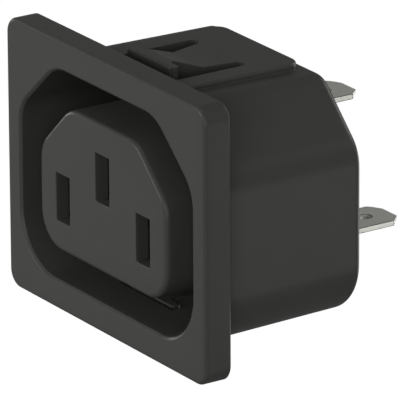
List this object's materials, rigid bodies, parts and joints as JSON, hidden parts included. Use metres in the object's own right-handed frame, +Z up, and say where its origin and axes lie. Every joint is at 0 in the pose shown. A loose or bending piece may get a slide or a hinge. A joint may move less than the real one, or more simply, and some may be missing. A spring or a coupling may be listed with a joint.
{
  "type": "panel power socket",
  "caption": "Snap-in panel power outlet with a rectangular flange, a plug-shaped recess around a slotted core, sprung snap hooks above and below, and quick-connect tabs behind.",
  "frame": {"origin": "middle of the flange's rear face, in the plane of the panel's front", "axes": "+Z up, +Y into the panel towards the tabs, -Y out of the front towards the plug, +X right seen from the front"},
  "size_m": [0.0346, 0.0286, 0.0276],
  "materials": {
    "black_plastic": "satin moulded black thermoplastic with a fine spark-eroded grain",
    "plated_strip": "bright tin plate over brass strip"
  },
  "bodies": {
    "root": {"housing": "black_plastic", "rear_cover": "black_plastic", "line_contact": "plated_strip", "neutral_contact": "plated_strip", "earth_contact": "plated_strip"}
  },
  "joints": []
}
